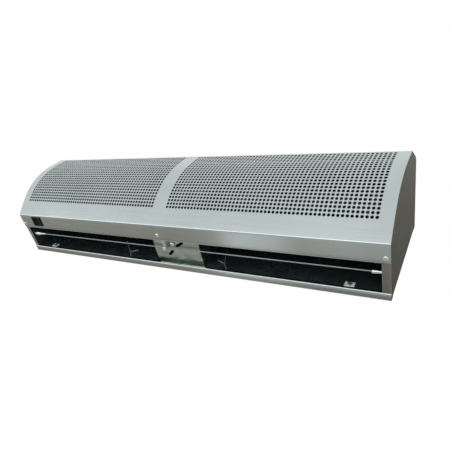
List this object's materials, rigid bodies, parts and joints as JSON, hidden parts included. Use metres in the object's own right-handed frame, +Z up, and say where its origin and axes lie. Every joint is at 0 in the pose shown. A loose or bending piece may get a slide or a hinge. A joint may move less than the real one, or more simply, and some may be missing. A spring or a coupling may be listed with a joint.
{
  "type": "air curtain",
  "caption": "Wall-mounted air curtain with a curved perforated stainless cover, a long slot outlet underneath and twin drum wheels on one motor.",
  "frame": {"origin": "centre of the back face of the wall plate, on the wall", "axes": "+X along the unit, +Y into the wall, +Z up; the outlet faces down and the perforated cover faces -Y"},
  "size_m": [0.9, 0.178, 0.2392],
  "materials": {
    "stainless_cover": "satin, brushed along its length",
    "stainless_end": "satin, brushed",
    "galvanised_sheet": "galvanised, dull spangle",
    "black_sheet": "black gloss paint",
    "bright_zinc": "bright zinc plate",
    "steel_rod": "drawn",
    "aluminium_wheel": "mill",
    "motor_aluminium": "die cast",
    "lamination": "varnished",
    "winding": "enamelled copper",
    "bronze": "sintered",
    "black_rubber": "moulded",
    "black_switch": "moulded, fine texture",
    "capacitor_case": "moulded",
    "nylon": "moulded"
  },
  "bodies": {
    "unit": {"front_cover": "stainless_cover", "rear_casing": "stainless_cover", "end_cap_left": "stainless_end", "end_cap_right": "stainless_end", "wall_plate": "galvanised_sheet", "cable_grommet": "black_rubber", "cover_screw_left": "bright_zinc", "cover_screw_centre": "bright_zinc", "cover_screw_right": "bright_zinc", "rear_guide_left": "black_sheet", "rear_guide_right": "black_sheet", "front_guide_left": "black_sheet", "front_guide_right": "black_sheet", "chamber_end_left": "black_sheet", "chamber_end_right": "black_sheet", "bulkhead_left": "black_sheet", "bulkhead_right": "black_sheet", "centre_plate": "stainless_end", "plate_screw": "bright_zinc", "motor_stator": "lamination", "motor_shield_left": "motor_aluminium", "motor_shield_right": "motor_aluminium", "stator_winding_left": "winding", "stator_winding_right": "winding", "motor_bearing_left": "bronze", "motor_bearing_right": "bronze", "motor_ring_left": "black_rubber", "motor_ring_right": "black_rubber", "end_bush_left": "bronze", "end_bush_right": "bronze", "bush_rubber_left": "black_rubber", "bush_rubber_right": "black_rubber", "motor_bracket": "galvanised_sheet", "motor_clamp_left": "galvanised_sheet", "motor_clamp_right": "galvanised_sheet", "guard_rod": "steel_rod", "rod_ferrule_left": "bright_zinc", "rod_ferrule_right": "bright_zinc", "rod_bracket": "bright_zinc", "rod_nut": "bright_zinc", "duct_stay_left": "steel_rod", "duct_stay_right": "steel_rod", "duct_clip_left": "bright_zinc", "duct_clip_right": "bright_zinc", "clip_bolt_left": "bright_zinc", "clip_bolt_right": "bright_zinc", "switch_body": "black_switch", "capacitor": "capacitor_case", "terminal_block": "nylon"},
    "fan": {"rotor_core": "lamination", "motor_shaft": "steel_rod", "fan_wheel_left": "aluminium_wheel", "fan_wheel_right": "aluminium_wheel", "end_shaft_left": "steel_rod", "end_shaft_right": "steel_rod"},
    "rocker": {"switch_rocker": "black_switch"}
  },
  "joints": [
    {"name": "fan_spin", "type": "hinge", "parent": "unit", "child": "fan", "pos_m": [0, -0.086, 0.011], "axis": [1, 0, 0], "continuous": true},
    {"name": "rocker_tilt", "type": "hinge", "parent": "unit", "child": "rocker", "pos_m": [-0.389, -0.0933, -0.115], "axis": [0, 1, 0], "range_deg": [0, 20]}
  ]
}
